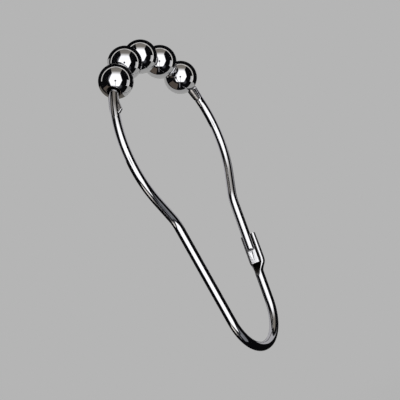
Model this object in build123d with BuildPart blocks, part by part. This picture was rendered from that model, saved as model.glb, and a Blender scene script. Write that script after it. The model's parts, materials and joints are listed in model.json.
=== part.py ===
from build123d import *
import math
import os

# Roller shower curtain hook: one bent spring wire whose two ends meet in a pressed
# latch, and five plated balls that turn on the arc of wire that rides on the rod.
# Millimetres. The hook hangs as in use: +Z up, the wire lies in the XZ plane and
# Y runs along the curtain rod. The origin is the centre of the top arc.

# Wire
wire_diameter = 2.1

# Wire centre line, from the top down. Both arms have the same shape.
top_arc_radius = 21.5
shoulder_angle = 32.0          # the top arc runs on below its widest point by this angle
shoulder_straight = 6.8        # from the end of the arc to the corner of the waist
waist_bend_radius = 7.7
bottom_bend_radius = 10.4
overall_depth = 51.2           # arc centre down to the lowest point of the centre line

# Balls
ball_count = 5
ball_diameter = 7.9
ball_gap = 0.05                # between neighbouring balls
bore_clearance = 0.2           # round the wire, where its curve comes closest to the bore
bore_rounding = 0.18           # at the mouths of the bore
ball_group_angle = 5.0         # the row of balls sits this far round towards the free arm

# Stops pressed out of the wire beside the row of balls
stop_clearance = 0.55          # along the wire, between a ball's mouth and a stop
stop_thickness = 0.85
stop_inset = 0.25              # the pressed web lies this far inside the centre line
stop_press_ramp = 0.5          # at both ends of the flat pressed on the inner side
stop_corner_radius = 0.2
stop_rim_radius = 0.1
stop_neck = 1.15               # half-width where an ear has run out into the wire
left_stop_length = 5.4
left_stop_front_reach = 1.95   # from the centre line to its ear on the -Y side
left_stop_back_reach = 1.55    # and to its ear on the +Y side
right_stop_length = 3.0
right_stop_front_reach = 1.4
right_stop_back_reach = 1.2

# Latch, with lengths along the leg
latch_foot = 5.53              # straight wire between the bottom bend and the trough
trough_runout = 3.55           # from where the wire is round up to the free arm's tip
latch_overlap = 7.05           # length of the free arm that lies in the trough
trough_wall = 0.42
trough_rim = 0.1               # the walls reach this far inside the centre line
trough_squareness = 3.2        # of the trough's outline, where 2 would be an ellipse
side_clearance = 0.18          # free arm to each side wall
mouth_clearance = 0.28         # free arm to the floor of the trough at its mouth
floor_clearance = 1.13         # free arm to the floor of the trough at its deepest
free_end_flat_length = 2.8
free_end_flat_depth = 0.55     # pressed off the side that faces into the hook
free_end_shoulder_radius = 0.8
free_end_back_depth = 0.3      # pressed off the side that faces the floor of the trough
free_end_back_length = 5.1
free_end_back_ramp = 2.0
crease_length = 2.2
crease_width = 0.5
crease_depth = 0.2

os.makedirs("parts", exist_ok=True)

wire_radius = wire_diameter / 2
past_wire = 2 * wire_radius    # how far the pressing cuts reach beyond the wire
off_wire = wire_radius + 0.03  # where a cut that fades out has left the wire


def polar(radius, degrees):
    """Point of the XZ plane at an angle from straight up, positive towards +X."""
    t = math.radians(degrees)
    return (radius * math.sin(t), radius * math.cos(t))


# Right arm of the centre line as (x, z): the arc ends at the shoulder, and two
# straight runs meet at the corner of the waist
shoulder = polar(top_arc_radius, 90 + shoulder_angle)
slope = math.radians(shoulder_angle)
corner = (
    shoulder[0] - shoulder_straight * math.sin(slope),
    shoulder[1] - shoulder_straight * math.cos(slope),
)

# The leg runs from that corner, tangent to the bottom bend
bottom_centre_z = -overall_depth + bottom_bend_radius
centre_distance = math.hypot(corner[0], bottom_centre_z - corner[1])
leg_angle = math.atan2(corner[0], corner[1] - bottom_centre_z) - math.asin(
    bottom_bend_radius / centre_distance
)
leg_length = math.sqrt(centre_distance**2 - bottom_bend_radius**2)
leg_down = (-math.sin(leg_angle), -math.cos(leg_angle))
leg_out = (math.cos(leg_angle), -math.sin(leg_angle))


def on_leg(distance):
    """Point of the right leg's centre line, measured from the corner of the waist."""
    return (corner[0] + leg_down[0] * distance, corner[1] + leg_down[1] * distance)


# Waist bend between the slanting shoulder and the leg
waist_turn = slope - leg_angle
waist_tangent = waist_bend_radius * math.tan(waist_turn / 2)
waist_top = (
    corner[0] + waist_tangent * math.sin(slope),
    corner[1] + waist_tangent * math.cos(slope),
)
waist_foot = on_leg(waist_tangent)
waist_slope = (slope + leg_angle) / 2
waist_rise = waist_bend_radius / math.cos(waist_turn / 2) - waist_bend_radius
waist_middle = (
    corner[0] + waist_rise * math.cos(waist_slope),
    corner[1] - waist_rise * math.sin(waist_slope),
)
leg_foot = on_leg(leg_length)
trough_end = leg_length - latch_foot
free_end = trough_end - trough_runout
trough_start = free_end - latch_overlap


def right(point):
    """A centre-line point of the right arm as a point in space."""
    return (point[0], 0, point[1])


def left(point):
    """The same point on the left arm."""
    return (-point[0], 0, point[1])


def leg_plane(distance):
    """Plane square to the right leg: x points out of the hook and z down the leg."""
    return Plane(
        origin=right(on_leg(distance)),
        x_dir=right(leg_out),
        z_dir=right(leg_down),
    )


# Side view of the right leg: x runs down the leg and y points out of the hook
leg_side = Plane(origin=right(corner), x_dir=right(leg_down), z_dir=(0, -1, 0))


def arc_plane(degrees, inset=0):
    """Plane on the wire's arc: x runs on along the arc and z points out of the hook."""
    return Plane(
        origin=right(polar(top_arc_radius - inset, degrees)),
        x_dir=right(polar(1, degrees + 90)),
        z_dir=right(polar(1, degrees)),
    )


def arc_side(degrees):
    """Side view of the wire's arc: x runs on along the arc and y points out of the hook."""
    return Plane(
        origin=right(polar(top_arc_radius, degrees)),
        x_dir=right(polar(1, degrees + 90)),
        z_dir=(0, -1, 0),
    )


# The bore is straight and the wire in it is curved, so each ball sits inside the arc
# by half the curve's rise
ball_radius = ball_diameter / 2
bore_shift = ball_radius**2 / (4 * top_arc_radius)
ball_ring_radius = top_arc_radius - bore_shift
bore_radius = wire_radius + bore_shift + bore_clearance
ball_step = 2 * math.degrees(math.asin((ball_diameter + ball_gap) / (2 * ball_ring_radius)))
ball_angles = [
    ball_group_angle + (k - (ball_count - 1) / 2) * ball_step for k in range(ball_count)
]

# Each stop begins just past the mouth of the last ball's bore
mouth_reach = math.sqrt(ball_radius**2 - bore_radius**2)
left_stop_start = (mouth_reach + stop_clearance) / top_arc_radius
right_stop_middle = ball_angles[-1] + math.degrees(
    left_stop_start + right_stop_length / 2 / top_arc_radius
)
left_stop_middle = ball_angles[0] - math.degrees(
    left_stop_start + left_stop_length / 2 / top_arc_radius
)


# Outlines seen from outside the hook, as (share of the stop's length, across), with the
# length running on along the arc from the stop's middle. The two ears of a stop stand
# at different places, because the wire was pressed at a slant.
left_stop_outline = (
    (-0.5, stop_neck),
    (-0.23, 0.9 * left_stop_back_reach),
    (0.5, left_stop_back_reach),
    (0.5, -stop_neck),
    (0.15, -stop_neck),
    (-0.37, -left_stop_front_reach),
    (-0.5, -0.7 * left_stop_front_reach),
)
right_stop_outline = (
    (-0.5, right_stop_back_reach),
    (0.15, right_stop_back_reach),
    (0.5, stop_neck),
    (0.5, -stop_neck),
    (-0.5, -right_stop_front_reach),
)

stops = []
stop_presses = []
for middle, length, outline in (
    (left_stop_middle, left_stop_length, left_stop_outline),
    (right_stop_middle, right_stop_length, right_stop_outline),
):
    with BuildPart() as stop:
        with BuildSketch(arc_plane(middle, stop_inset)) as web:
            with BuildLine():
                Polyline(*[(share * length, across) for share, across in outline], close=True)
            make_face()
            fillet(web.vertices(), stop_corner_radius)
        extrude(amount=stop_thickness / 2, both=True)
        fillet(stop.faces().sort_by(SortBy.AREA)[-2:].edges(), stop_rim_radius)
    stops.append(stop.part)

    # What flattens the wire's inner side, in side view down to the stop's inner face
    with BuildPart() as stop_press:
        with BuildSketch(arc_side(middle)):
            press_level = -stop_inset - stop_thickness / 2
            press_foot = length / 2 + stop_press_ramp
            with BuildLine():
                Polyline(
                    (-length / 2, press_level),
                    (length / 2, press_level),
                    (press_foot, press_level - wire_radius),
                    (-press_foot, press_level - wire_radius),
                    close=True,
                )
            make_face()
        extrude(amount=wire_diameter, both=True)
    stop_presses.append(stop_press.part)


# Places along the latch: 0 is the mouth of the trough, 1 the tip of the free arm and
# 2 the round wire
deepest_place = 0.68


def ease(value):
    """Smooth step from 0 to 1."""
    t = min(max(value, 0), 1)
    return t * t * (3 - 2 * t)


def along_latch(place):
    """Distance down the leg of a place along the latch."""
    if place < 1:
        return trough_start + place * latch_overlap
    return free_end + (place - 1) * trough_runout


def to_round(place):
    """How far the outline has gone back from the trough to the round wire."""
    return ease((place - 0.84) / 0.8)


def hollow_rise(place):
    """How far the hollow has risen out of the wire below the free arm."""
    return ease((place - 0.9) / 1.1)


inner_half_width = wire_radius + side_clearance
outer_half_width = inner_half_width + trough_wall


def outer_floor(place):
    """Height of the trough's outer floor over the centre line."""
    swell = math.sin(min(max(place, 0) / deepest_place, 1) * math.pi / 2)
    clearance = mouth_clearance + (floor_clearance - mouth_clearance) * swell
    pressed = wire_radius + clearance + trough_wall
    return pressed + (wire_radius - pressed) * to_round(place)


def trough_outline(place):
    """Closed outline of the wire, squared and with its floor pushed outwards."""
    floor = outer_floor(place)
    half_width = outer_half_width + (wire_radius - outer_half_width) * to_round(place)
    squareness = trough_squareness + (2 - trough_squareness) * to_round(place)
    points = []
    point_count = 20
    for k in range(point_count):
        c = math.cos(2 * math.pi * k / point_count)
        s = math.sin(2 * math.pi * k / point_count)
        out = math.copysign(abs(c) ** (2 / squareness), c)
        across = math.copysign(abs(s) ** (2 / squareness), s)
        middle = (floor - wire_radius) / 2
        points.append((middle + out * (floor + wire_radius) / 2, across * half_width))
    return points


# What hollows the trough: open towards the inside of the hook, with a round floor, and
# narrowing as it runs out to a point on the round wire
with BuildPart() as trough_hollow:
    for place in (-0.15, 0, 0.17, 0.38, deepest_place, 0.9, 1.2, 1.5, 1.75, 2):
        rise = hollow_rise(place)
        half_width = inner_half_width * (1 - 0.6 * rise)
        floor = (outer_floor(place) - trough_wall) * (1 - rise) - off_wire * rise
        wall_foot = floor - half_width
        opening = -2 * past_wire
        with BuildSketch(leg_plane(along_latch(place))):
            with BuildLine():
                Line((opening, half_width), (wall_foot, half_width))
                ThreePointArc((wall_foot, half_width), (floor, 0), (wall_foot, -half_width))
                Line((wall_foot, -half_width), (opening, -half_width))
                Line((opening, -half_width), (opening, half_width))
            make_face()
    loft()

with BuildPart() as trough:
    for place in (0, 0.17, 0.38, deepest_place, 0.87, 1.05, 1.3, 1.5, 1.68, 1.84):
        with BuildSketch(leg_plane(along_latch(place))):
            with BuildLine():
                Spline(*trough_outline(place), periodic=True)
            make_face()
    with BuildSketch(leg_plane(trough_end)):
        Circle(wire_radius)
    loft()

    # Rims in side view: level beside the free arm, then up to the round wire
    with BuildSketch(leg_side):
        ramp_start = along_latch(1)
        ramp_end = along_latch(1.7)
        before_mouth = trough_start - wire_radius
        beyond = -1.5 * past_wire
        with BuildLine():
            Line((before_mouth, beyond), (before_mouth, -trough_rim))
            Line((before_mouth, -trough_rim), (ramp_start, -trough_rim))
            Spline((ramp_start, -trough_rim), (ramp_end, -off_wire), tangents=[(1, 0), (1, 0)])
            Line((ramp_end, -off_wire), (ramp_end, beyond))
            Line((ramp_end, beyond), (before_mouth, beyond))
        make_face()
    extrude(amount=2 * outer_half_width, both=True, mode=Mode.SUBTRACT)
    add(trough_hollow.part, mode=Mode.SUBTRACT)

# Crease down the middle of the free arm's flat, fading out towards the tip
flat_start = free_end - free_end_flat_length
flat_level = free_end_flat_depth - wire_radius
with BuildPart() as crease:
    for distance, depth in ((flat_start, crease_depth), (flat_start + crease_length, 0)):
        with BuildSketch(leg_plane(distance)):
            with BuildLine():
                Polyline(
                    (flat_level - crease_depth, crease_width),
                    (flat_level + depth, 0),
                    (flat_level - crease_depth, -crease_width),
                    close=True,
                )
            make_face()
    loft()

with BuildPart() as hook_wire:
    # Round wire, from the tip of the free arm over the top to the foot of the trough
    with BuildLine() as centre_line:
        Line(right(on_leg(free_end)), right(waist_foot))
        ThreePointArc(right(waist_foot), right(waist_middle), right(waist_top))
        Line(right(waist_top), right(shoulder))
        ThreePointArc(right(shoulder), (0, 0, top_arc_radius), left(shoulder))
        Line(left(shoulder), left(waist_top))
        ThreePointArc(left(waist_top), left(waist_middle), left(waist_foot))
        Line(left(waist_foot), left(leg_foot))
        ThreePointArc(left(leg_foot), (0, 0, -overall_depth), right(leg_foot))
        Line(right(leg_foot), right(on_leg(trough_end)))
    with BuildSketch(Plane(origin=centre_line.line @ 0, z_dir=centre_line.line % 0)):
        Circle(wire_radius)
    sweep()

    # Tip of the free arm, pressed flat up to a round shoulder
    past_end = free_end + past_wire
    with BuildSketch(leg_side):
        flat_top = flat_level - free_end_shoulder_radius
        shoulder_start = flat_start - free_end_shoulder_radius
        with BuildLine():
            Line((flat_start, flat_level), (past_end, flat_level))
            Line((past_end, flat_level), (past_end, flat_top))
            Line((past_end, flat_top), (shoulder_start, flat_top))
            TangentArc((flat_start, flat_level), (shoulder_start, flat_top), tangent=(-1, 0))
        make_face()
    extrude(amount=wire_diameter, both=True, mode=Mode.SUBTRACT)

    # and thinned on the side that faces the floor of the trough
    with BuildSketch(leg_side):
        back_start = free_end - free_end_back_length
        back_level = wire_radius - free_end_back_depth
        with BuildLine():
            Polyline(
                (back_start, off_wire),
                (back_start + free_end_back_ramp, back_level),
                (past_end, back_level),
                (past_end, past_wire),
                (back_start, past_wire),
                close=True,
            )
        make_face()
    extrude(amount=wire_diameter, both=True, mode=Mode.SUBTRACT)
    add(crease.part, mode=Mode.SUBTRACT)

    # The trough at the other end of the wire, and the stops
    add(trough.part)
    add(stop_presses, mode=Mode.SUBTRACT)
    add(stops)

hook_wire.part.label = "hook_wire"
export_step(hook_wire.part, "parts/hook_wire.step")

# Balls, each bored through along the wire's way at its own place
for number, degrees in enumerate(ball_angles, start=1):
    centre = right(polar(ball_ring_radius, degrees))
    with BuildPart(Plane(origin=centre, z_dir=arc_plane(degrees).x_dir)) as roller:
        Sphere(ball_radius)
        Cylinder(bore_radius, 2 * ball_diameter, mode=Mode.SUBTRACT)
        fillet(roller.edges().filter_by(GeomType.CIRCLE), bore_rounding)
    roller.part.label = f"roller_{number}"
    export_step(roller.part, f"parts/roller_{number}.step")
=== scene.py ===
import json
import math

import bmesh
import bpy
from mathutils import Matrix, Quaternion, Vector


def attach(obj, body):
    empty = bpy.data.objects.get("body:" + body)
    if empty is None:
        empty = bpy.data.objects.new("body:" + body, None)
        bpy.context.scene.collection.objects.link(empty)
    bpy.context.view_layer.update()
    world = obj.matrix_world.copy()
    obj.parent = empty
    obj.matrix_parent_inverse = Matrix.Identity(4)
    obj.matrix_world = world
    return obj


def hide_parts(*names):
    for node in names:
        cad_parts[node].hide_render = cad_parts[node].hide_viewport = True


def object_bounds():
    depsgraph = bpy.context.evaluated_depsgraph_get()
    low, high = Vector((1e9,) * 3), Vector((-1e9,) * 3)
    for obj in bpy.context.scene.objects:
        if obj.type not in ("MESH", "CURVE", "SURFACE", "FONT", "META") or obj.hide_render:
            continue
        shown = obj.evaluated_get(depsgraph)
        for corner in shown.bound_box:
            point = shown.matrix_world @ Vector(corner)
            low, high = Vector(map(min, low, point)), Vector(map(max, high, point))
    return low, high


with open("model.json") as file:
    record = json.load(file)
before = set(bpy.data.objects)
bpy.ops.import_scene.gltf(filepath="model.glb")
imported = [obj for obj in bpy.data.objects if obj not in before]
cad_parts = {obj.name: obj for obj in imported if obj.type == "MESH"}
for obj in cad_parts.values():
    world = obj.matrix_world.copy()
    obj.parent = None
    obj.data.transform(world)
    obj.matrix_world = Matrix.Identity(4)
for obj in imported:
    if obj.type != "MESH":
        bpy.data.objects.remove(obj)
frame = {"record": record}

CAD_BOX = [list(corner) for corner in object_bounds()]
MM = 0.001

# Camera, from the photograph: where it stands round the hook, and how far it is rolled.
# The hook hangs as in use, so the photograph's tilt is the camera's roll.
VIEW_HEADING = 61.09           # degrees from +Y towards +X
VIEW_PITCH = 0.94              # degrees above level
VIEW_ROLL = 24.4               # degrees
VIEW_DISTANCE = 321.7 * MM
VIEW_TARGET = Vector((0.42, 0.49, -14.7)) * MM
FOCAL_PIXELS = 1398
PHOTO_PIXELS = 400
SENSOR_WIDTH = 36              # millimetres
NEAREST_SEEN = 0.01
FARTHEST_SEEN = 20

# Backdrop, floor and lamp, in metres
BACKGROUND = "#B5B5B5"
FLOOR_DROP = 0.06              # below the hook's lowest point
FLOOR_HALF_SIZE = 3
FLOOR_ROUGHNESS = 0.9
FLOOR_FADE = (0.1, 0.3)        # how far out the paper runs into the backdrop's tone
LAMP_PLACE = (0.3, -0.4, 0.9)
LAMP_SIZE = 0.8
LAMP_POWER = 0.4               # watts


def linear(colour):
    """A linear RGBA colour from an sRGB hex value."""
    parts = [int(colour[i:i + 2], 16) / 255 for i in (1, 3, 5)]
    return [c / 12.92 if c <= 0.04045 else ((c + 0.055) / 1.055) ** 2.4 for c in parts] + [1]


def add_node(tree, kind, inputs=None, **settings):
    """Adds a node with its settings, and links or fills its inputs. A node given as an
    input links by its first output in use."""
    node = tree.nodes.new(kind)
    for name, value in settings.items():
        setattr(node, name, value)
    for socket, value in (inputs or {}).items():
        if isinstance(value, bpy.types.Node):
            value = next(output for output in value.outputs if output.enabled)
        if isinstance(value, bpy.types.NodeSocket):
            tree.links.new(value, node.inputs[socket])
        else:
            node.inputs[socket].default_value = value
    return node


def bare_tree(owner):
    """The empty node tree of a material or world."""
    owner.use_nodes = True
    owner.node_tree.nodes.clear()
    return owner.node_tree


def new_object(name, data):
    """An object in the scene."""
    thing = bpy.data.objects.new(name, data)
    bpy.context.collection.objects.link(thing)
    return thing


def mesh_data(name, mesh):
    """Mesh data from a bmesh, which is freed."""
    data = bpy.data.meshes.new(name)
    mesh.to_mesh(data)
    mesh.free()
    return data


def place_camera():
    """The photograph's camera. Returns its right, up and back directions."""
    heading = math.radians(VIEW_HEADING)
    pitch = math.radians(VIEW_PITCH)
    forward = Vector(
        (
            math.sin(heading) * math.cos(pitch),
            math.cos(heading) * math.cos(pitch),
            math.sin(pitch),
        )
    )
    camera = new_object("camera", bpy.data.cameras.new("camera"))
    camera.location = VIEW_TARGET - forward * VIEW_DISTANCE
    camera.rotation_mode = "QUATERNION"
    level = forward.to_track_quat("-Z", "Y")
    camera.rotation_quaternion = level @ Quaternion((0, 0, 1), -math.radians(VIEW_ROLL))
    camera.data.sensor_width = SENSOR_WIDTH
    camera.data.lens = FOCAL_PIXELS / PHOTO_PIXELS * SENSOR_WIDTH
    camera.data.clip_start = NEAREST_SEEN
    camera.data.clip_end = FARTHEST_SEEN
    bpy.context.scene.camera = camera
    turn = camera.rotation_quaternion
    return [turn @ Vector(axis) for axis in ((1, 0, 0), (0, 1, 0), (0, 0, 1))]


# Studio as the plating shows it. Places are degrees away from the direction of the
# camera, to the right and up, so the middle of this map looks back at the camera.
DARK_ROOM = linear("#0C0C0E")
ROOM_LIGHT = (0.95, 0.95, 0.95, 1)      # for all but the plating

# White sheet from below the camera to far overhead, where it turns grey. It is widest
# beside the camera and narrowest at its waist, and leans to the right.
WHITE_SHEET = (1.6, 1.6, 1.6, 1)
SHEET_FAR_END = linear("#8A857E")
SHEET_FOOT = -37
SHEET_TOP = 92
SHEET_FADE = (32, 68)          # heights between which it turns grey
SHEET_WAIST = 49
WAIST_HALF_WIDTH = 26
WAIST_FLARE = 0.36             # half-width gained for each degree from the waist
FOOT_HALF_WIDTH = 42           # at the camera's own height
FOOT_FLARE = 0.4               # half-width lost for each degree below it
SHEET_MIDDLE = 1               # to the right, at the camera's own height
SHEET_LEAN = 0.05              # to the right for each degree up
SHEET_HALF_WIDTH = 40          # once the flare is taken out, for even corners
SHEET_CORNER = 8
SHEET_EDGE = 2

# Cards as (name, tone, middle, half-size, corner radius, soft edge)
CARDS_UNDER_SHEET = (
    ("dim card, low on the right", "#54555A", (31, -38), (0, 0), 11, 8),
    ("leg of the stand", "#A6A6AA", (-5, -62), (1.5, 18), 0.6, 0.8),
    ("grey left edge of the sheet", "#8C8C90", (-8, 8), (0, 0), 38, 5),
)
CARDS_OVER_SHEET = (
    ("camera's stand", "#A4A3A1", (0, -20), (0.8, 19), 0.6, 1),
    ("camera's lens", "#303032", (0, -1), (0, 0), 6, 2),
)


def lay_card(tree, place, below, tone, middle, half_size, corner, edge):
    """Lays a round-cornered card with soft edges over the studio that is below it."""
    offset = add_node(
        tree, "ShaderNodeVectorMath", {0: place, 1: (*middle, 0)}, operation="SUBTRACT"
    )
    size = add_node(tree, "ShaderNodeVectorMath", {0: offset}, operation="ABSOLUTE")
    past = add_node(
        tree, "ShaderNodeVectorMath", {0: size, 1: (*half_size, 0)}, operation="SUBTRACT"
    )
    outside = add_node(
        tree, "ShaderNodeVectorMath", {0: past, 1: (0, 0, 0)}, operation="MAXIMUM"
    )
    reach = add_node(tree, "ShaderNodeVectorMath", {0: outside}, operation="LENGTH")
    mask = add_node(
        tree,
        "ShaderNodeMapRange",
        {"Value": reach, "From Min": corner + edge, "From Max": corner - edge},
        interpolation_type="SMOOTHSTEP",
    )
    return add_node(tree, "ShaderNodeMix", {0: mask, 6: below, 7: tone}, data_type="RGBA")


def studio_world(right, up, back):
    """World that gives the plating the photograph's studio, and the rest plain light."""
    world = bpy.data.worlds.new("photo studio")
    bpy.context.scene.world = world
    tree = bare_tree(world)
    way = add_node(tree, "ShaderNodeTexCoord").outputs["Generated"]
    turn = Matrix((right, up, back)).to_euler("XYZ")
    seen = add_node(
        tree,
        "ShaderNodeVectorRotate",
        {"Vector": way, "Rotation": tuple(turn)},
        rotation_type="EULER_XYZ",
    )
    flat = add_node(
        tree, "ShaderNodeVectorMath", {0: seen, 1: (1, 1, 0)}, operation="MULTIPLY"
    )
    side = add_node(tree, "ShaderNodeVectorMath", {0: flat}, operation="NORMALIZE")
    toward = add_node(tree, "ShaderNodeSeparateXYZ", {0: seen}).outputs["Z"]
    away = add_node(tree, "ShaderNodeMath", {0: toward}, operation="ARCCOSINE")
    degrees = add_node(
        tree, "ShaderNodeMath", {0: away, 1: math.degrees(1)}, operation="MULTIPLY"
    )
    place = add_node(
        tree, "ShaderNodeVectorMath", {0: side, "Scale": degrees}, operation="SCALE"
    )

    # The sheet's outline: half its width and its middle, at each height
    rise = add_node(tree, "ShaderNodeSeparateXYZ", {0: place}).outputs["Y"]
    across = add_node(tree, "ShaderNodeSeparateXYZ", {0: place}).outputs["X"]
    past_waist = add_node(
        tree, "ShaderNodeMath", {0: rise, 1: SHEET_WAIST}, operation="SUBTRACT"
    )
    from_waist = add_node(tree, "ShaderNodeMath", {0: past_waist}, operation="ABSOLUTE")
    above = add_node(
        tree,
        "ShaderNodeMath",
        {0: from_waist, 1: WAIST_FLARE, 2: WAIST_HALF_WIDTH},
        operation="MULTIPLY_ADD",
    )
    below = add_node(
        tree,
        "ShaderNodeMath",
        {0: rise, 1: FOOT_FLARE, 2: FOOT_HALF_WIDTH},
        operation="MULTIPLY_ADD",
    )
    half_width = add_node(tree, "ShaderNodeMath", {0: above, 1: below}, operation="MINIMUM")
    middle = add_node(
        tree,
        "ShaderNodeMath",
        {0: rise, 1: SHEET_LEAN, 2: SHEET_MIDDLE},
        operation="MULTIPLY_ADD",
    )
    aside = add_node(tree, "ShaderNodeMath", {0: across, 1: middle}, operation="SUBTRACT")
    share = add_node(tree, "ShaderNodeMath", {0: aside, 1: half_width}, operation="DIVIDE")
    straightened = add_node(
        tree, "ShaderNodeMath", {0: share, 1: SHEET_HALF_WIDTH}, operation="MULTIPLY"
    )
    on_sheet = add_node(tree, "ShaderNodeCombineXYZ", {"X": straightened, "Y": rise})
    fading = add_node(
        tree,
        "ShaderNodeMapRange",
        {"Value": rise, "From Min": SHEET_FADE[0], "From Max": SHEET_FADE[1]},
        interpolation_type="SMOOTHSTEP",
    )
    sheet = add_node(
        tree,
        "ShaderNodeMix",
        {0: fading, 6: WHITE_SHEET, 7: SHEET_FAR_END},
        data_type="RGBA",
    )

    room = DARK_ROOM
    for name, tone, middle, half_size, corner, edge in CARDS_UNDER_SHEET:
        room = lay_card(tree, place, room, linear(tone), middle, half_size, corner, edge)
    sheet_middle = (0, (SHEET_FOOT + SHEET_TOP) / 2)
    sheet_half = (
        SHEET_HALF_WIDTH - SHEET_CORNER,
        (SHEET_TOP - SHEET_FOOT) / 2 - SHEET_CORNER,
    )
    room = lay_card(
        tree, on_sheet, room, sheet, sheet_middle, sheet_half, SHEET_CORNER, SHEET_EDGE
    )
    for name, tone, middle, half_size, corner, edge in CARDS_OVER_SHEET:
        room = lay_card(tree, place, room, linear(tone), middle, half_size, corner, edge)

    # A camera sees the plain backdrop, the plating the room, and the rest white light
    light_path = add_node(tree, "ShaderNodeLightPath").outputs
    direct = add_node(
        tree,
        "ShaderNodeMath",
        {0: light_path["Is Camera Ray"], 1: light_path["Is Transmission Ray"]},
        operation="MAXIMUM",
    )
    light = add_node(
        tree,
        "ShaderNodeMix",
        {0: light_path["Is Glossy Ray"], 6: ROOM_LIGHT, 7: room},
        data_type="RGBA",
    )
    shown = add_node(
        tree, "ShaderNodeMix", {0: direct, 6: light, 7: linear(BACKGROUND)}, data_type="RGBA"
    )
    surface = add_node(tree, "ShaderNodeBackground", {"Color": shown, "Strength": 1.0})
    add_node(tree, "ShaderNodeOutputWorld", {"Surface": surface})


# Curved cards as (name, tone, nearest at either end, farthest, ends). Nearest and
# farthest are degrees away from the camera's direction, and the ends are degrees round
# from the right and over the top.
BALL_CARDS = (
    ("pale hoop", "#E6E4DF", (96, 96), 104, (-20, 180)),
    ("small pale card", "#D8D8D8", (79, 79), 97, (-24, 6)),
    ("low brown card", "#5A5149", (62, 54), 106, (-152, -106)),
)
WIRE_CARDS = (
    ("bench", "#B4AFA8", (60, 60), 82, (-124, -103)),
    ("bench's near edge", "#CFCBC6", (60, 60), 74, (-124, -103)),
    ("dim bench on the right", "#7E8084", (54, 54), 75, (-70, -8)),
    ("grey card, high on the left", "#86827D", (70, 70), 92, (138, 160)),
    ("grey backdrop", "#BBBABD", (112, 112), 176, (20, 205)),
)
FRONT_BALL_CARDS = (
    ("dark bench", "#66625B", (128, 106), 170, (-168, -62)),
    ("grey sweep on the right", "#B0B0AE", (104, 94), 172, (-62, -20)),
)
OTHER_BALL_CARDS = (("grey sweep", "#B0B0AE", (126, 94), 172, (-200, -20)),)
CARD_DISTANCE = 0.6            # metres from the balls
CARD_STEPS = (48, 8)           # faces round and away


def curved_cards(cards, axes, centre, pieces):
    """Cards round a place that only some pieces see, because in the photograph they lie
    out of the others' sight. The others see through them."""
    right, up, back = axes
    lit = bpy.data.collections.new(cards[0][0])
    for piece in pieces:
        lit.objects.link(piece)
    for name, tone, near, far, ends in cards:
        mesh = bmesh.new()
        around, outward = CARD_STEPS
        bmesh.ops.create_grid(mesh, x_segments=around, y_segments=outward, size=0.5)
        for vertex in mesh.verts:
            along = vertex.co.x + 0.5
            nearest = near[0] + (near[1] - near[0]) * along
            away = math.radians(nearest + (far - nearest) * (vertex.co.y + 0.5))
            turn = math.radians(ends[0] + (ends[1] - ends[0]) * along)
            side = right * math.cos(turn) + up * math.sin(turn)
            way = back * math.cos(away) + side * math.sin(away)
            vertex.co = centre + way * CARD_DISTANCE
        card = new_object(name, mesh_data(name, mesh))
        paper = bpy.data.materials.new(name)
        tree = bare_tree(paper)
        glow = add_node(tree, "ShaderNodeEmission", {"Color": linear(tone), "Strength": 1.0})
        clear = add_node(tree, "ShaderNodeBsdfTransparent", {"Color": (1, 1, 1, 1)})
        surface = add_node(tree, "ShaderNodeAddShader", {0: glow, 1: clear})
        add_node(tree, "ShaderNodeOutputMaterial", {"Surface": surface})
        card.data.materials.append(paper)
        card.visible_camera = False
        card.visible_diffuse = False
        card.visible_shadow = False
        card.visible_transmission = False
        card.light_linking.receiver_collection = lit


def pale_floor():
    """Matt pale floor, which far from the hook runs into the backdrop's tone."""
    lowest = CAD_BOX[0][2]
    mesh = bmesh.new()
    bmesh.ops.create_grid(mesh, x_segments=1, y_segments=1, size=FLOOR_HALF_SIZE)
    floor = new_object("floor", mesh_data("floor", mesh))
    floor.location = (0, 0, lowest - FLOOR_DROP)
    floor.visible_glossy = False
    paper = bpy.data.materials.new("matt pale paper")
    tree = bare_tree(paper)
    matt = add_node(
        tree,
        "ShaderNodeBsdfPrincipled",
        {"Base Color": linear(BACKGROUND), "Roughness": FLOOR_ROUGHNESS},
    )
    spot = add_node(tree, "ShaderNodeTexCoord").outputs["Object"]
    distance = add_node(tree, "ShaderNodeVectorMath", {0: spot}, operation="LENGTH")
    far = add_node(
        tree,
        "ShaderNodeMapRange",
        {"Value": distance, "From Min": FLOOR_FADE[0], "From Max": FLOOR_FADE[1]},
    )
    light_path = add_node(tree, "ShaderNodeLightPath").outputs
    shown = add_node(
        tree,
        "ShaderNodeMath",
        {0: far, 1: light_path["Is Camera Ray"]},
        operation="MULTIPLY",
    )
    plain = add_node(
        tree, "ShaderNodeEmission", {"Color": linear(BACKGROUND), "Strength": 1.0}
    )
    surface = add_node(tree, "ShaderNodeMixShader", {0: shown, 1: matt, 2: plain})
    add_node(tree, "ShaderNodeOutputMaterial", {"Surface": surface})
    floor.data.materials.append(paper)


def softbox():
    """Soft lamp overhead, which gives the floor its shadow."""
    light = bpy.data.lights.new("softbox", "AREA")
    light.size = LAMP_SIZE
    light.energy = LAMP_POWER
    lamp = new_object("softbox", light)
    lamp.location = LAMP_PLACE
    lamp.rotation_mode = "QUATERNION"
    lamp.rotation_quaternion = (-Vector(LAMP_PLACE)).to_track_quat("-Z", "Y")
    lamp.visible_glossy = False


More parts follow.
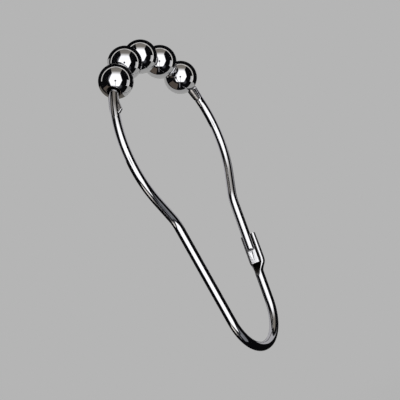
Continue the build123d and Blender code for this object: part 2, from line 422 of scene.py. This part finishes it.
# Chrome plate. On the real hook the draw lines and the polishing haze are some hundredths
# of a millimetre across: both are drawn coarse enough to show. Patterns of the wire are
# in millimetres, as its own attribute measures, and those of the balls in metres.
PLATE_TONE = linear("#DCDCDE")
DULL_PLATE_TONE = linear("#CFCFD2")
# Painted shade: a dark tone laid in the trough and the bores, where shade falls
PAINTED_SHADE_TONE = linear("#3E3B38")
DRAW_LINE_LENGTH = 9
DRAW_LINE_GAP = 0.16
DIE_MARK_SIZE = 0.35
WAVE_SIZE = 2.6 * MM
HAZE_SIZE = 0.7 * MM
DRAW_LINE_DEPTH = 0.0004 * MM
DIE_MARK_DEPTH = 0.005 * MM
WAVE_DEPTH = 0.006 * MM
DRAWN_ROUGHNESS = (0.04, 0.09)
STRUCK_ROUGHNESS = (0.13, 0.23)
POLISHED_ROUGHNESS = (0.02, 0.07)
PAINTED_SHADE_ROUGHNESS = 0.4
PATTERN_SPREAD = (0.3, 0.7)    # where nearly all of a noise's values lie
HAZE_SPREAD = (0.35, 0.75)


def plated_wire():
    """Bright chrome on drawn spring steel: a sharp mirror with faint lines along the
    wire, softer where dies have pressed it, and with painted shade, dark and dull, down in the
    trough."""
    material = bpy.data.materials.new("bright chrome on drawn spring wire")
    tree = bare_tree(material)
    way = add_node(tree, "ShaderNodeAttribute", attribute_name="wire_way").outputs["Vector"]
    pressed = add_node(tree, "ShaderNodeAttribute", attribute_name="pressed").outputs["Fac"]
    recess_painted_shade = add_node(tree, "ShaderNodeAttribute", attribute_name="recess_painted_shade").outputs["Fac"]
    stretched = add_node(
        tree,
        "ShaderNodeVectorMath",
        {0: way, 1: (1 / DRAW_LINE_LENGTH, 1 / DRAW_LINE_GAP, 1 / DRAW_LINE_GAP)},
        operation="MULTIPLY",
    )
    lines = add_node(
        tree, "ShaderNodeTexNoise", {"Vector": stretched, "Scale": 1, "Detail": 2}
    )
    marks = add_node(
        tree, "ShaderNodeTexNoise", {"Vector": way, "Scale": 1 / DIE_MARK_SIZE, "Detail": 3}
    )
    bright = add_node(
        tree, "ShaderNodeMix", {0: lines, 6: DULL_PLATE_TONE, 7: PLATE_TONE}, data_type="RGBA"
    )
    # Painted shade darkens the trough
    tone = add_node(
        tree, "ShaderNodeMix", {0: recess_painted_shade, 6: bright, 7: PAINTED_SHADE_TONE}, data_type="RGBA"
    )
    drawn, struck = (
        add_node(
            tree,
            "ShaderNodeMapRange",
            {
                "Value": pattern,
                "From Min": PATTERN_SPREAD[0],
                "From Max": PATTERN_SPREAD[1],
                "To Min": smoothest,
                "To Max": roughest,
            },
        )
        for pattern, (smoothest, roughest) in (
            (lines, DRAWN_ROUGHNESS),
            (marks, STRUCK_ROUGHNESS),
        )
    )
    outside = add_node(tree, "ShaderNodeMix", {0: pressed, 2: drawn, 3: struck})
    roughness = add_node(
        tree, "ShaderNodeMix", {0: recess_painted_shade, 2: outside, 3: PAINTED_SHADE_ROUGHNESS}
    )
    relief = add_node(tree, "ShaderNodeMix", {0: pressed, 2: lines, 3: marks})
    depth = add_node(
        tree,
        "ShaderNodeMapRange",
        {"Value": pressed, "To Min": DRAW_LINE_DEPTH, "To Max": DIE_MARK_DEPTH},
    )
    bump = add_node(tree, "ShaderNodeBump", {"Height": relief, "Distance": depth})
    shader = add_node(
        tree,
        "ShaderNodeBsdfPrincipled",
        {"Base Color": tone, "Metallic": 1.0, "Roughness": roughness, "Normal": bump},
    )
    add_node(tree, "ShaderNodeOutputMaterial", {"Surface": shader})
    return material


def plated_ball():
    """Bright chrome on a polished steel ball: a mirror with a slight waviness and a
    faint haze from the polishing, and with painted shade, dark and dull, in the bore."""
    material = bpy.data.materials.new("bright chrome on polished steel ball")
    tree = bare_tree(material)
    place = add_node(tree, "ShaderNodeTexCoord").outputs["Object"]
    recess_painted_shade = add_node(tree, "ShaderNodeAttribute", attribute_name="recess_painted_shade").outputs["Fac"]
    waves = add_node(
        tree, "ShaderNodeTexNoise", {"Vector": place, "Scale": 1 / WAVE_SIZE, "Detail": 1}
    )
    haze = add_node(
        tree, "ShaderNodeTexNoise", {"Vector": place, "Scale": 1 / HAZE_SIZE, "Detail": 4}
    )
    bright = add_node(
        tree, "ShaderNodeMix", {0: haze, 6: DULL_PLATE_TONE, 7: PLATE_TONE}, data_type="RGBA"
    )
    # Painted shade darkens the bore
    tone = add_node(
        tree, "ShaderNodeMix", {0: recess_painted_shade, 6: bright, 7: PAINTED_SHADE_TONE}, data_type="RGBA"
    )
    polished = add_node(
        tree,
        "ShaderNodeMapRange",
        {
            "Value": haze,
            "From Min": HAZE_SPREAD[0],
            "From Max": HAZE_SPREAD[1],
            "To Min": POLISHED_ROUGHNESS[0],
            "To Max": POLISHED_ROUGHNESS[1],
        },
    )
    roughness = add_node(
        tree, "ShaderNodeMix", {0: recess_painted_shade, 2: polished, 3: PAINTED_SHADE_ROUGHNESS}
    )
    bump = add_node(tree, "ShaderNodeBump", {"Height": waves, "Distance": WAVE_DEPTH})
    shader = add_node(
        tree,
        "ShaderNodeBsdfPrincipled",
        {"Base Color": tone, "Metallic": 1.0, "Roughness": roughness, "Normal": bump},
    )
    add_node(tree, "ShaderNodeOutputMaterial", {"Surface": shader})
    return material


SHARP_EDGE = 38                # degrees, on the wire and the balls

# Wire, in millimetres, as the CAD model has it
WIRE_RADIUS = 1.05
TOP_ARC_RADIUS = 21.5
SHOULDER_ANGLE = 32            # degrees that the top arc runs on below its widest point
SHOULDER_STRAIGHT = 6.8
WAIST_BEND_RADIUS = 7.7
BOTTOM_BEND_RADIUS = 10.4
OVERALL_DEPTH = 51.2

# Latch, with lengths in millimetres. A place on it is 0 at the trough's mouth, 1 at the
# free arm's tip and 2 where the wire is round again.
LATCH_FOOT = 5.53              # straight wire between the bottom bend and the trough
TROUGH_RUNOUT = 3.55
LATCH_OVERLAP = 7.05
TROUGH_WALL = 0.42
TROUGH_CORNER = 1.85           # radius between wall and floor, outside
TROUGH_HALF_WIDTH = 1.95
BEAD_RADIUS = 0.5              # of the walls' round rims
BEAD_TOP = -0.25               # from the centre line to a rim's top, into the hook
MOUTH_CLEARANCE = 0.28
FLOOR_CLEARANCE = 1.13
DEEPEST_PLACE = 0.68
HOLLOW_SHARE = 0.85            # of the half-width, at most
HOLLOW_NARROWING = 0.5
RUNOUT_LIP = 0.1               # radius of the hollow's edge where it ends
RUNOUT_RISE = 0.03             # of the hollow's floor past the wire's face, where it ends

# Changes along the latch, each as (place where it begins, how far it goes on)
ROUNDING_RUN = (0.84, 0.8)     # trough to round wire
FLOOR_RUN = (0.9, 1.1)         # the hollow's floor comes up
RIM_RUN = (0.95, 0.75)         # the rims reach the wire's face
EVEN_RUN = (2, 0.8)            # the section's points spread out
PAINTED_SHADE_RISE_RUN = (1, 0.8)      # the painted shade comes up
PAINTED_SHADE_END_RUN = (1.62, 0.33)    # the painted shade ends

# Free arm's tip
FLAT_LENGTH = 2.8
FLAT_DEPTH = 0.55
FLAT_TILT = 0.27               # slope of the flat, deeper towards -Y
FLAT_SHOULDER_RADIUS = 0.8
BACK_DEPTH = 0.3
BACK_LENGTH = 5.1
BACK_RAMP = 2.0
CREASE_LENGTH = 2.2
CREASE_WIDTH = 0.8
CREASE_DEPTH = 0.3
CREASE_END = 0.15
FLAT_EDGE = 0.06               # softness of the pressed flats' edges
TIP_ROUNDING = 0.12

# Painted shade, dark and dull, in the trough and the bores
PAINTED_SHADE_LEVEL = 0.05              # where it begins, from the centre line, out of the hook
PAINTED_SHADE_RISE = 1.43         # how far it comes up past the free arm's tip
PAINTED_SHADE_FADE = 0.2
BORE_FADE = 0.1
PRESSED_FADE = 0.1             # depth of pressing that hides the draw lines

# Stops, with lengths in millimetres
STOP_INNER_LEVEL = 0.675       # from the centre line to the web's face inside the hook
STOP_OUTER_LEVEL = 0.175
STOP_PRESS_SLOPE = 2.1         # rise of the pressed flat's ends
STOP_RUNOUT = 0.6              # reach of those ends
STOP_CROWN = 1.05              # swell of the pressed face at its middle
STOP_FALL = 0.18               # fall of that face to its sides
STOP_ROUNDNESS = 4
STOP_FLAT_EDGE = 0.1
STOP_WEB_EDGE = 0.05
STOP_MARGIN = 2                # degrees either side with points crowded to the corners
POINT_CROWDING = 0.35

# Each stop is (middle in degrees round the top arc, length, half-widths towards -Y,
# half-widths towards +Y), with each half-width at its share of the length
STOPS = (
    (
        -56.45,
        5.4,
        ((0, 1.2), (0.02, 1.365), (0.12, 1.92), (0.15, 1.93), (0.65, 1.15), (1, 1.1)),
        ((0, 1.1), (0.27, 1.395), (0.97, 1.54), (1, 1.35)),
    ),
    (
        63.26,
        3.0,
        ((0, 1.2), (0.06, 1.38), (1, 1.1)),
        ((0, 1.05), (0.06, 1.2), (0.65, 1.2), (1, 1.1)),
    ),
)

# Sections of the wire, and the millimetres between them
LOOP_HALF = 48                 # points in each half of a section
LIP_POINTS = 8                 # on the inner half of a rim
OUTER_ANGLE = 96               # degrees that the outer half's points reach to either side
PLAIN_STEP = 0.4
LATCH_STEP = 0.1
LATCH_LEAD = 3                 # of plain wire below the latch, as closely stepped
TIP_STEP = 0.09
TIP_LEAD = 0.2                 # of plain wire past the tip's back, as closely stepped
TIP_END = 0.14                 # the rounded end, most closely stepped
TIP_END_STEP = 0.01
STOP_STEP = 0.06
STOP_END_STEP = 0.006
LEAST_STEP = 1e-6
ROUNDING_ERROR = 1e-9


def ease(value, begins=0, run=1):
    """Smooth step from 0 to 1, from where it begins to the end of its run."""
    t = min(max((value - begins) / run, 0), 1)
    return t * t * (3 - 2 * t)


def compass(radius, degrees):
    """Point of the hook's plane as (x, z), at an angle from straight up towards +X."""
    t = math.radians(degrees)
    return Vector((radius * math.sin(t), radius * math.cos(t)))


class CentreLine:
    """The wire's centre line, from the tip of the free arm to the mouth of the trough."""

    def __init__(self):
        slope = math.radians(SHOULDER_ANGLE)
        shoulder = compass(TOP_ARC_RADIUS, 90 + SHOULDER_ANGLE)
        slant_down = Vector((-math.sin(slope), -math.cos(slope)))
        slant_out = Vector((math.cos(slope), -math.sin(slope)))
        corner = shoulder + slant_down * SHOULDER_STRAIGHT
        bend_centre = Vector((0, BOTTOM_BEND_RADIUS - OVERALL_DEPTH))
        reach = (corner - bend_centre).length
        leg_angle = math.atan2(corner.x, corner.y - bend_centre.y)
        leg_angle -= math.asin(BOTTOM_BEND_RADIUS / reach)
        leg_down = Vector((-math.sin(leg_angle), -math.cos(leg_angle)))
        leg_out = Vector((math.cos(leg_angle), -math.sin(leg_angle)))
        leg_length = math.sqrt(reach**2 - BOTTOM_BEND_RADIUS**2)
        turn = slope - leg_angle
        tangent = WAIST_BEND_RADIUS * math.tan(turn / 2)
        free_end = leg_length - LATCH_FOOT - TROUGH_RUNOUT
        mouth = free_end - LATCH_OVERLAP

        def on_leg(distance):
            """Point of the free arm's leg, at a distance down from the waist's corner."""
            return corner + leg_down * distance

        mirror = Vector((-1, 1))
        waist_foot = on_leg(tangent)
        waist_top = corner - slant_down * tangent
        waist_centre = waist_foot + leg_out * WAIST_BEND_RADIUS
        half_top = math.radians(90 + SHOULDER_ANGLE)
        # Runs are (length, place at a distance) with the place as (point, way out)
        runs = []

        def straight(start, end, out):
            """Adds a straight run."""
            length = (end - start).length
            runs.append((length, lambda t: (start.lerp(end, t / length), out)))

        def waist(first, last, side):
            """Adds a waist bend, on the free arm's side or its mirror image."""
            length = WAIST_BEND_RADIUS * turn

            def place(t):
                """Place on the waist bend."""
                angle = first + (last - first) * t / length
                out = Vector((math.cos(angle), -math.sin(angle)))
                point = waist_centre - out * WAIST_BEND_RADIUS
                return (point * side, out * side)

            runs.append((length, place))

        def top(t):
            """Place on the top arc."""
            angle = half_top - t / TOP_ARC_RADIUS
            out = Vector((math.sin(angle), math.cos(angle)))
            return (out * TOP_ARC_RADIUS, out)

        half_bottom = math.pi / 2 - leg_angle

        def bottom(t):
            """Place on the bottom bend."""
            angle = -half_bottom + t / BOTTOM_BEND_RADIUS
            out = Vector((math.sin(angle), -math.cos(angle)))
            return (bend_centre + out * BOTTOM_BEND_RADIUS, out)

        plain = Vector((1, 1))
        straight(on_leg(free_end), waist_foot, leg_out)
        waist(leg_angle, slope, plain)
        straight(waist_top, shoulder, slant_out)
        self.top_begins = sum(length for length, place in runs)
        runs.append((2 * half_top * TOP_ARC_RADIUS, top))
        straight(shoulder * mirror, waist_top * mirror, slant_out * mirror)
        waist(slope, leg_angle, mirror)
        straight(waist_foot * mirror, on_leg(leg_length) * mirror, leg_out * mirror)
        runs.append((2 * half_bottom * BOTTOM_BEND_RADIUS, bottom))
        straight(on_leg(leg_length), on_leg(mouth), leg_out)
        self.runs = runs
        self.length = sum(length for length, place in runs)
        self.half_top = half_top

    def at(self, distance):
        """Point and way out of the hook, both in space, at a distance from the tip."""
        for length, place in self.runs:
            if distance <= length + ROUNDING_ERROR:
                break
            distance -= length
        else:
            distance = length
        point, out = place(distance)
        return Vector((point.x, 0, point.y)), Vector((out.x, 0, out.y))

    def top_angle(self, distance):
        """Degrees from straight up towards +X, for a distance on the top arc."""
        return math.degrees(self.half_top - (distance - self.top_begins) / TOP_ARC_RADIUS)


def along_latch(line, distance):
    """Place on the latch of a distance from the tip."""
    from_mouth = line.length - distance
    if from_mouth < LATCH_OVERLAP:
        return from_mouth / LATCH_OVERLAP
    return 1 + (from_mouth - LATCH_OVERLAP) / TROUGH_RUNOUT


def trough_section(place):
    """Closed section of the pressed wire as (out, across): outside, then inside.

    Each wall ends in a round bead. Past the free arm's tip it narrows to round wire."""
    rounding = ease(place, *ROUNDING_RUN)
    rise = ease(place, *FLOOR_RUN)
    swell = math.sin(min(max(place, 0) / DEEPEST_PLACE, 1) * math.pi / 2)
    floor = WIRE_RADIUS + MOUTH_CLEARANCE + TROUGH_WALL
    floor += (FLOOR_CLEARANCE - MOUTH_CLEARANCE) * swell
    floor += (WIRE_RADIUS - floor) * rounding
    half_width = TROUGH_HALF_WIDTH + (WIRE_RADIUS - TROUGH_HALF_WIDTH) * rounding
    top = -BEAD_TOP + (BEAD_TOP - WIRE_RADIUS) * ease(place, *RIM_RUN)
    bead = BEAD_RADIUS + (WIRE_RADIUS - BEAD_RADIUS) * rounding
    corner = min(TROUGH_CORNER, floor - top - bead)
    bead_across = half_width - bead
    hollow_half = min(TROUGH_HALF_WIDTH - 2 * BEAD_RADIUS, HOLLOW_SHARE * half_width)
    hollow_half *= 1 - HOLLOW_NARROWING * rise
    lip = BEAD_RADIUS + (RUNOUT_LIP - BEAD_RADIUS) * rounding
    rim = hollow_half + lip

    # Outside, from one rim over the floor to the other: bead, side and corner, twice
    quarter = LOOP_HALF // 4
    first = math.asin(min(1, max(0, rim - bead_across) / bead))
    side = []
    for k in range(quarter):
        t = first + (math.pi / 2 - first) * k / (quarter - 1)
        side.append((top + bead - bead * math.cos(t), bead_across + bead * math.sin(t)))
    for k in range(quarter):
        t = math.pi / 2 * (k + 0.5) / quarter
        across = half_width - corner + corner * math.cos(t)
        side.append((floor - corner + corner * math.sin(t), across))
    loop = [(out, -across) for out, across in side] + side[::-1]

    # Inside, back from that rim over its lip and the hollow to the first
    def back(across):
        """Level of the face that the walls turn into the hook."""
        past = min(max(0, abs(across) - bead_across), bead)
        return top + bead - math.sqrt(bead**2 - past**2)

    shore = []
    for k in range(LIP_POINTS):
        t = math.pi / 2 * (k + 1) / LIP_POINTS
        across = rim - lip * math.sin(t)
        shore.append((back(across) + lip * (1 - math.cos(t)) * (1 - rise), across))
    hollow_floor = (floor - TROUGH_WALL) * (1 - rise) - (WIRE_RADIUS + RUNOUT_RISE) * rise
    hollow_count = LOOP_HALF - 2 * LIP_POINTS
    hollow = []
    for k in range(hollow_count):
        t = math.pi * (k + 0.5) / hollow_count
        across = hollow_half * math.cos(t)
        round_floor = hollow_floor - hollow_half + hollow_half * math.sin(t)
        hollow.append((max(round_floor, back(across)), across))
    return loop + shore + hollow + [(out, -across) for out, across in reversed(shore)]


def smooth_max(a, b, width):
    """The larger of two values, with a soft change from one to the other."""
    return (a + b + math.sqrt((a - b) ** 2 + width**2)) / 2


def press_free_end(distance, out, across):
    """The free arm's tip: a flat with a crease on the inner side, thinner at the back."""
    past_flat = max(0, distance - FLAT_LENGTH)
    if past_flat < FLAT_SHOULDER_RADIUS:
        rise = FLAT_SHOULDER_RADIUS - math.sqrt(FLAT_SHOULDER_RADIUS**2 - past_flat**2)
        level = FLAT_DEPTH - WIRE_RADIUS - rise - FLAT_TILT * across
        out = smooth_max(out, level, FLAT_EDGE)
        share = (distance - FLAT_LENGTH + CREASE_LENGTH) / CREASE_LENGTH
        share = min(max(share, 0), 1) * max(0, 1 - past_flat / CREASE_END)
        if share > 0 and out < 0:
            notch = max(0, 1 - abs(across) / (CREASE_WIDTH / 2 * share))
            out += CREASE_DEPTH * share * notch
    if distance < BACK_LENGTH:
        ramp = min(1, (BACK_LENGTH - distance) / BACK_RAMP)
        out = -smooth_max(-out, BACK_DEPTH * ramp - WIRE_RADIUS, FLAT_EDGE)
    return out, across


def half_width_along(profile, share):
    """Half-width of a stop's web at a share of its length."""
    for (a, low), (b, high) in zip(profile, profile[1:]):
        if a <= share <= b:
            return low + (high - low) * (share - a) / (b - a)
    return 0


def stop_surface(degrees, angle):
    """Distance from the centre line to the surface at or near a stop, in one direction."""
    out = math.cos(angle)
    across = math.sin(angle)
    surface = WIRE_RADIUS
    for middle, length, front, back in STOPS:
        along = math.radians(degrees - middle) * TOP_ARC_RADIUS
        past = abs(along) - length / 2
        if past > STOP_RUNOUT:
            continue
        # The web is flat while the wire bends
        bend = along**2 / (2 * TOP_ARC_RADIUS)
        inner_level = STOP_INNER_LEVEL - bend + max(0, past) * STOP_PRESS_SLOPE
        inner_level *= STOP_CROWN - STOP_FALL * across**2
        if out < 0:
            surface = -smooth_max(-surface, inner_level / out, STOP_FLAT_EDGE)
        if past <= 0:
            level = STOP_OUTER_LEVEL + bend if out > 0 else inner_level
            profile = front if across < 0 else back
            half_width = half_width_along(profile, along / length + 0.5)
            sides = (abs(across) / half_width) ** STOP_ROUNDNESS
            sides += (abs(out) / level) ** STOP_ROUNDNESS
            surface = smooth_max(surface, sides ** (-1 / STOP_ROUNDNESS), STOP_WEB_EDGE)
    return surface


def wire_section(line, distance):
    """Closed section of the wire as (out, across) at a distance from the tip."""
    place = along_latch(line, distance)
    if place <= 2:
        return trough_section(place)
    # Directions of the points, the outer half first
    first = math.radians(OUTER_ANGLE)
    even = [first * (2 * k / (LOOP_HALF - 1) - 1) for k in range(LOOP_HALF)]
    rest = 2 * (math.pi - first) / (LOOP_HALF + 1)
    even += [first + rest * (k + 1) for k in range(LOOP_HALF)]
    # Away from the trough the points spread out evenly
    share = ease(place, *EVEN_RUN)
    if share < 1:
        pressed = [math.atan2(across, out) for out, across in trough_section(2)]
        pressed = [a + 2 * math.pi * (k >= LOOP_HALF and a < 0) for k, a in enumerate(pressed)]
        return [
            (WIRE_RADIUS * math.cos(a), WIRE_RADIUS * math.sin(a))
            for a in (p + (e - p) * share for p, e in zip(pressed, even))
        ]
    degrees = line.top_angle(distance)
    near_stop = any(
        abs(degrees - middle) < math.degrees(length / 2 / TOP_ARC_RADIUS) + STOP_MARGIN
        for middle, length, front, back in STOPS
    )
    section = []
    for angle in even:
        if near_stop:
            angle += POINT_CROWDING * math.sin(2 * angle)
        radius = stop_surface(degrees, angle) if near_stop else WIRE_RADIUS
        section.append((radius * math.cos(angle), radius * math.sin(angle)))
    if distance < BACK_LENGTH:
        inset = 0
        if distance < TIP_ROUNDING:
            left = TIP_ROUNDING - distance
            inset = TIP_ROUNDING - math.sqrt(TIP_ROUNDING**2 - left**2)
        section = [press_free_end(distance, out, across) for out, across in section]
        section = [((1 - inset) * out, (1 - inset) * across) for out, across in section]
    return section


def wire_stations(line):
    """Distances of the wire's sections from its tip, closest where it is pressed."""
    latch_length = LATCH_OVERLAP + TROUGH_RUNOUT
    # Stretches as (start, end, step)
    fine = [
        (0, TIP_END, TIP_END_STEP),
        (TIP_END, BACK_LENGTH + TIP_LEAD, TIP_STEP),
        (line.length - latch_length - LATCH_LEAD, line.length, LATCH_STEP),
    ]
    for middle, length, front, back in STOPS:
        centre = line.top_begins + (line.half_top - math.radians(middle)) * TOP_ARC_RADIUS
        start = centre - length / 2
        end = centre + length / 2
        fine.append((start - STOP_RUNOUT, end + STOP_RUNOUT, STOP_STEP))
        for edge in (start, end):
            fine.append((edge - 2 * STOP_END_STEP, edge + 2 * STOP_END_STEP, STOP_END_STEP))
    stations = []
    distance = 0
    while distance < line.length - LEAST_STEP:
        stations.append(distance)
        step_here = PLAIN_STEP
        for start, end, step in fine:
            if start - ROUNDING_ERROR <= distance < end - LEAST_STEP:
                step_here = min(step_here, step)
        ahead = [start for start, end, step in fine if start > distance + LEAST_STEP]
        distance = min([distance + step_here] + ahead)
    return stations + [line.length]


def build_wire():
    """The whole bent wire as one closed mesh, with its pressed ends and stops."""
    line = CentreLine()
    mesh = bmesh.new()
    wire_way = mesh.verts.layers.float_vector.new("wire_way")
    pressed = mesh.verts.layers.float.new("pressed")
    recess_painted_shade = mesh.verts.layers.float.new("recess_painted_shade")
    rod_way = Vector((0, 1, 0))
    rings = []
    for distance in wire_stations(line):
        point, out_way = line.at(distance)
        latch_place = along_latch(line, distance)
        # Painted shade starts below the rims, and past the free arm's tip it comes up
        shade_level = PAINTED_SHADE_LEVEL - PAINTED_SHADE_RISE * ease(latch_place, *PAINTED_SHADE_RISE_RUN)
        shade_share = 1 - ease(latch_place, *PAINTED_SHADE_END_RUN)
        ring = []
        for k, (out, across) in enumerate(wire_section(line, distance)):
            vertex = mesh.verts.new((point + out_way * out + rod_way * across) * MM)
            vertex[wire_way] = (distance, out, across)
            press_depth = abs(math.hypot(out, across) - WIRE_RADIUS)
            vertex[pressed] = min(1, press_depth / PRESSED_FADE)
            if latch_place < 2 and k >= LOOP_HALF:
                vertex[recess_painted_shade] = ease(out, shade_level, PAINTED_SHADE_FADE) * shade_share
            ring.append(vertex)
        rings.append(ring)
    count = 2 * LOOP_HALF
    for ring, following in zip(rings, rings[1:]):
        for k in range(count):
            after = (k + 1) % count
            mesh.faces.new((ring[k], ring[after], following[after], following[k]))
    for ring in (rings[0], rings[-1]):
        for k in range(LOOP_HALF - 1):
            mesh.faces.new((ring[k], ring[k + 1], ring[count - 2 - k], ring[count - 1 - k]))
    bmesh.ops.recalc_face_normals(mesh, faces=mesh.faces)
    return finish_piece("wire", mesh)


def finish_piece(name, mesh):
    """A smooth-shaded object from a bmesh, with its sharp edges kept."""
    piece = new_object(name, mesh_data(name, mesh))
    piece.data.shade_smooth()
    piece.data.set_sharp_from_angle(angle=math.radians(SHARP_EDGE))
    return piece


# Balls, in millimetres
BALL_RADIUS = 3.95
BORE_CLEARANCE = 0.2
BORE_ROUNDING = 0.18

# Points of a ball's profile, and how many times it is set round the bore
OUTSIDE_STEPS = 72
ROUNDING_STEPS = 8
BORE_STEPS = 24
BALL_TURNS = 160


def build_ball(name, centre, along):
    """A bored ball, turned about its bore."""
    shift = BALL_RADIUS**2 / (4 * TOP_ARC_RADIUS)
    bore = WIRE_RADIUS + shift + BORE_CLEARANCE
    # The mouth's rounding touches the ball inside and the bore outside
    mouth = bore + BORE_ROUNDING
    mouth_reach = math.sqrt((BALL_RADIUS - BORE_ROUNDING) ** 2 - mouth**2)
    opening = math.atan2(mouth, mouth_reach)
    outside = []
    for k in range(OUTSIDE_STEPS + 1):
        t = opening + (math.pi - 2 * opening) * k / OUTSIDE_STEPS
        outside.append((BALL_RADIUS * math.cos(t), BALL_RADIUS * math.sin(t)))
    rounding = []
    for k in range(1, ROUNDING_STEPS + 1):
        t = opening - (math.pi / 2 + opening) * k / ROUNDING_STEPS
        rounding.append(
            (mouth_reach + BORE_ROUNDING * math.cos(t), mouth + BORE_ROUNDING * math.sin(t))
        )
    inside = [
        (mouth_reach - 2 * mouth_reach * k / BORE_STEPS, bore) for k in range(1, BORE_STEPS)
    ]
    far = [(-x, r) for x, r in reversed(rounding)]
    profile = rounding + inside + far + list(reversed(outside))
    mesh = bmesh.new()
    recess_painted_shade = mesh.verts.layers.float.new("recess_painted_shade")
    turn = along.to_track_quat("X", "Y")
    rings = []
    for k in range(BALL_TURNS):
        angle = 2 * math.pi * k / BALL_TURNS
        ring = []
        for x, r in profile:
            point = Vector((x, r * math.cos(angle), r * math.sin(angle)))
            vertex = mesh.verts.new(centre + turn @ point * MM)
            # The bore gets painted shade, dark and dull
            vertex[recess_painted_shade] = ease((bore + BORE_FADE - r) / BORE_FADE)
            ring.append(vertex)
        rings.append(ring)
    count = len(profile)
    for k in range(BALL_TURNS):
        here = rings[k]
        there = rings[(k + 1) % BALL_TURNS]
        for j in range(count):
            after = (j + 1) % count
            mesh.faces.new((here[j], here[after], there[after], there[j]))
    bmesh.ops.recalc_face_normals(mesh, faces=mesh.faces)
    return finish_piece(name, mesh)


axes = place_camera()
studio_world(*axes)
pale_floor()
softbox()

wire = build_wire()
wire.data.materials.append(plated_wire())
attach(wire, "wire")
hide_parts("hook_wire")

# Each ball turns on a joint of the record
ball_joints = frame["record"]["behaviour"]["joints"]
ball_finish = plated_ball()
balls = []
for joint in ball_joints:
    number = joint["name"].split("_")[1]
    ball = build_ball(f"ball_{number}", Vector(joint["pos_m"]), Vector(joint["axis"]))
    ball.data.materials.append(ball_finish)
    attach(ball, f"ball_{number}")
    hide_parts(f"roller_{number}")
    balls.append(ball)

# Cards stand round the middle ball. The photograph's front ball, the first, has its own.
middle_ball = Vector(ball_joints[2]["pos_m"])
curved_cards(BALL_CARDS, axes, middle_ball, balls)
curved_cards(FRONT_BALL_CARDS, axes, middle_ball, balls[:1])
curved_cards(OTHER_BALL_CARDS, axes, middle_ball, balls[1:])
curved_cards(WIRE_CARDS, axes, middle_ball, [wire])

bpy.context.scene.view_settings.view_transform = "Standard"
